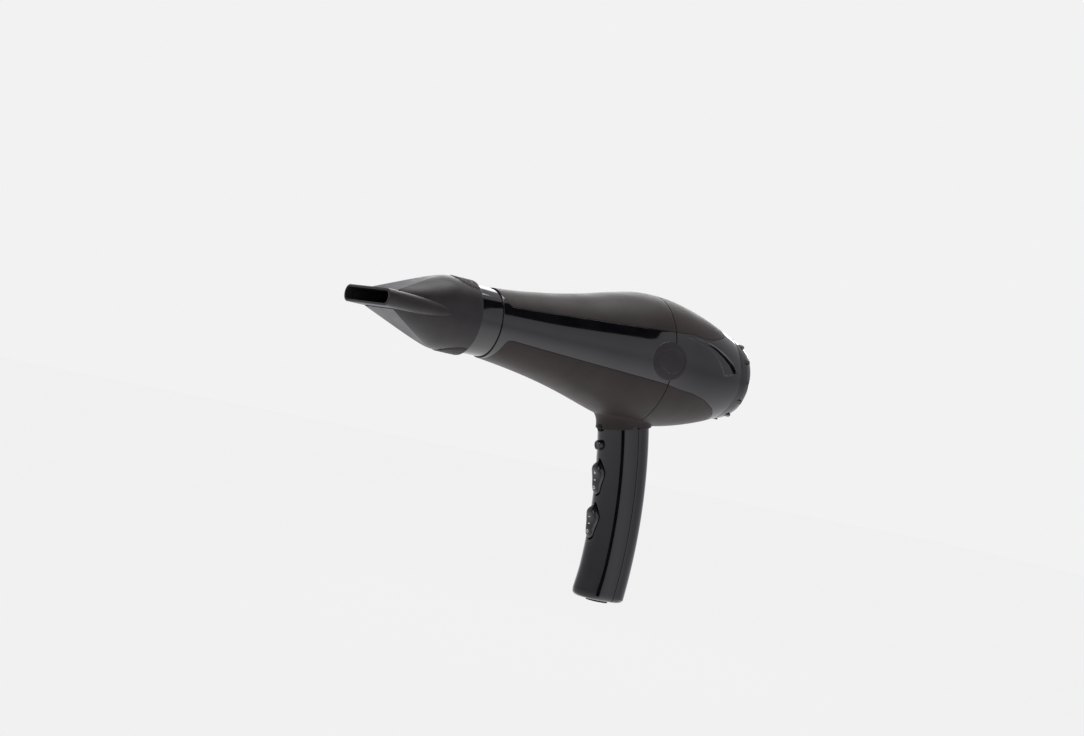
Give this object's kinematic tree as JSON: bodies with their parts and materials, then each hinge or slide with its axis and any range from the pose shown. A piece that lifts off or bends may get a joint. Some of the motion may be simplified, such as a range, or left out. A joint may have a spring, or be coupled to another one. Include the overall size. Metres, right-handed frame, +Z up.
{
  "type": "hair dryer",
  "caption": "Pistol-grip hair dryer with a flared barrel, rear filter cap and a push-on concentrator nozzle that turns.",
  "frame": {"origin": "centre of the barrel's front rim, where a nozzle seats", "axes": "+X back along the barrel's axis, air blows towards -X; +Z up; handle hangs down along -Z"},
  "size_m": [0.2991, 0.0924, 0.2163],
  "materials": {
    "gloss_black": "moulded gloss ABS",
    "soft_touch": "soft-touch painted",
    "inner_plastic": "moulded",
    "light_plastic": "moulded",
    "steel": "plated steel",
    "mica": "mica sheet",
    "heater_wire": "resistance wire",
    "copper": "copper",
    "bronze": "sintered bronze",
    "ferrite": "ferrite",
    "rubber": "moulded rubber"
  },
  "bodies": {
    "housing": {"front_housing": "gloss_black", "top_cover": "soft_touch", "bottom_cover": "soft_touch", "rear_housing": "gloss_black", "rear_top_cover": "soft_touch", "rear_bottom_cover": "soft_touch", "side_cap_left": "gloss_black", "side_cap_right": "gloss_black", "outlet_grille": "gloss_black", "handle_front": "gloss_black", "handle_rear": "gloss_black", "cold_shot_spring": "steel", "cold_shot_switch": "inner_plastic", "rocker_pins": "steel", "heat_switch": "inner_plastic", "speed_switch": "inner_plastic", "mica_sleeve": "mica", "heater_former": "mica", "heater_coils": "heater_wire", "thermostat": "steel", "thermal_fuse": "steel", "motor_can": "steel", "motor_end_cap": "light_plastic", "magnets": "ferrite", "front_bearing": "bronze", "rear_bearing": "bronze", "motor_sleeve": "rubber", "motor_screws": "steel", "fan_duct": "inner_plastic", "cord_gland": "rubber", "cord_clamp": "light_plastic", "clamp_screws": "steel", "terminal_block": "light_plastic", "internal_leads": "copper", "neck_screw": "steel", "handle_screws": "steel"},
    "nozzle_carrier": {"nozzle_ring": "gloss_black"},
    "nozzle": {"nozzle_body": "gloss_black", "nozzle_grip_upper": "soft_touch", "nozzle_grip_lower": "soft_touch"},
    "filter": {"filter_cap": "gloss_black", "filter_screen": "steel"},
    "rotor": {"motor_shaft": "steel", "armature": "copper", "impeller": "inner_plastic"},
    "cold_shot": {"cold_shot_button": "gloss_black"},
    "heat_rocker": {"heat_rocker": "gloss_black"},
    "speed_rocker": {"speed_rocker": "gloss_black"}
  },
  "joints": [
    {"name": "nozzle_pull", "type": "slide", "parent": "housing", "child": "nozzle_carrier", "axis": [-1, 0, 0], "range_m": [0, 0.018]},
    {"name": "nozzle_turn", "type": "hinge", "parent": "nozzle_carrier", "child": "nozzle", "pos_m": [0, 0, 0], "axis": [-1, 0, 0], "continuous": true},
    {"name": "filter_twist", "type": "hinge", "parent": "housing", "child": "filter", "pos_m": [0.225, 0, 0], "axis": [1, 0, 0], "range_deg": [-25, 0]},
    {"name": "fan_spin", "type": "hinge", "parent": "housing", "child": "rotor", "pos_m": [0.15, 0, 0], "axis": [1, 0, 0], "continuous": true},
    {"name": "cold_shot_press", "type": "slide", "parent": "housing", "child": "cold_shot", "axis": [0.981, 0, 0.1938], "range_m": [0, 0.0025], "stiffness_N_per_m": 400, "springref_m": -0.001, "deforming": ["cold_shot_spring"]},
    {"name": "heat_tilt", "type": "hinge", "parent": "housing", "child": "heat_rocker", "pos_m": [0.1523, 0, -0.08499], "axis": [0, 1, 0], "range_deg": [-8, 8]},
    {"name": "speed_tilt", "type": "hinge", "parent": "housing", "child": "speed_rocker", "pos_m": [0.15504, 0, -0.11594], "axis": [0, 1, 0], "range_deg": [-8, 8]}
  ]
}
